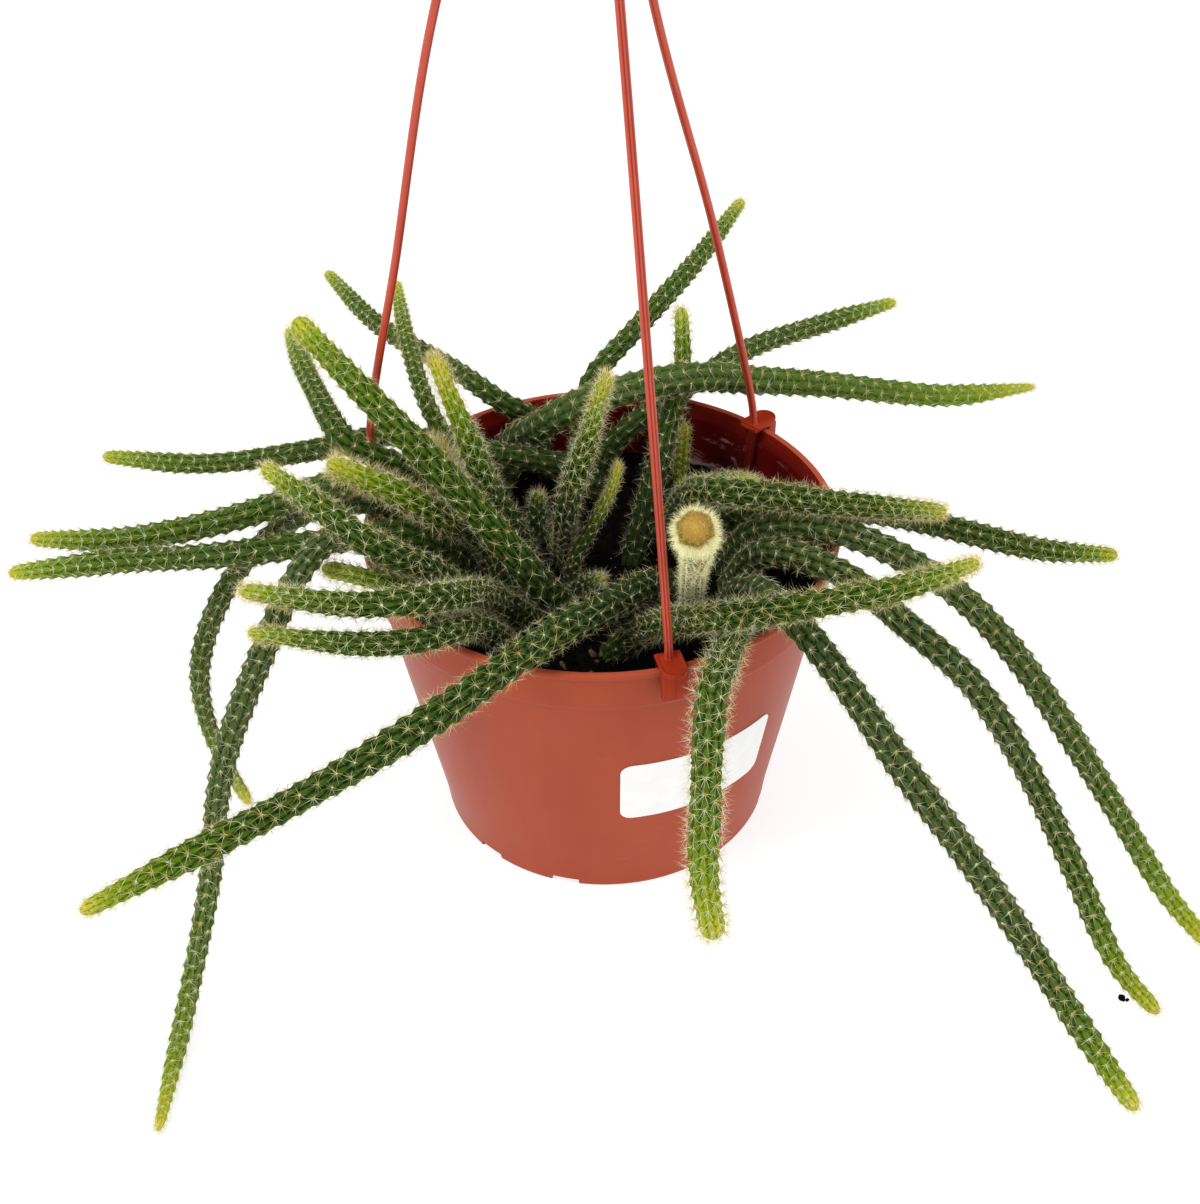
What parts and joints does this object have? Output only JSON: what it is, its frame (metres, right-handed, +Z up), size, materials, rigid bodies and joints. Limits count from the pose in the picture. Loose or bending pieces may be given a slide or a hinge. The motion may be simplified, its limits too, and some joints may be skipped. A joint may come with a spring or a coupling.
{
  "type": "potted rat tail cactus",
  "caption": "Rat tail cactus with long trailing ribbed stems in a tapered plastic hanging pot with a strand hanger clipped to its rim, standing on its base.",
  "frame": {"origin": "centre of the pot's flat underside", "axes": "+Z up along the pot's axis; -Y is the side the camera looks at; +X to the viewer's right"},
  "size_m": [0.3974, 0.3253, 0.451],
  "materials": {
    "terracotta_plastic": "satin moulded plastic",
    "hanger_plastic": "smooth moulded plastic",
    "potting_mix": "dark loose mix",
    "label_film": "blank white sticker",
    "cactus_stem": "waxy green skin with pale spines"
  },
  "bodies": {
    "root": {"pot": "terracotta_plastic", "potting_mix": "potting_mix", "label": "label_film", "hanger_front": "hanger_plastic", "hanger_back": "hanger_plastic", "hanger_left": "hanger_plastic", "hanger_hook": "hanger_plastic", "stem_l01": "cactus_stem", "stem_l02": "cactus_stem", "stem_l03": "cactus_stem", "stem_l04": "cactus_stem", "stem_l05": "cactus_stem", "stem_l06": "cactus_stem", "stem_l07": "cactus_stem", "stem_l08": "cactus_stem", "stem_l09": "cactus_stem", "stem_l10": "cactus_stem", "stem_l11": "cactus_stem", "stem_l12": "cactus_stem", "stem_l13": "cactus_stem", "stem_l14": "cactus_stem", "stem_l15": "cactus_stem", "stem_l16": "cactus_stem", "stem_l17": "cactus_stem", "stem_l18": "cactus_stem", "stem_r01": "cactus_stem", "stem_r02": "cactus_stem", "stem_r03": "cactus_stem", "stem_r04": "cactus_stem", "stem_r05": "cactus_stem", "stem_r06": "cactus_stem", "stem_r07": "cactus_stem", "stem_r08": "cactus_stem", "stem_r09": "cactus_stem", "stem_r10": "cactus_stem", "stem_r11": "cactus_stem", "stem_r12": "cactus_stem", "stem_r13": "cactus_stem", "stem_r14": "cactus_stem", "stem_r15": "cactus_stem", "stem_r16": "cactus_stem", "stem_r17": "cactus_stem"}
  },
  "joints": []
}
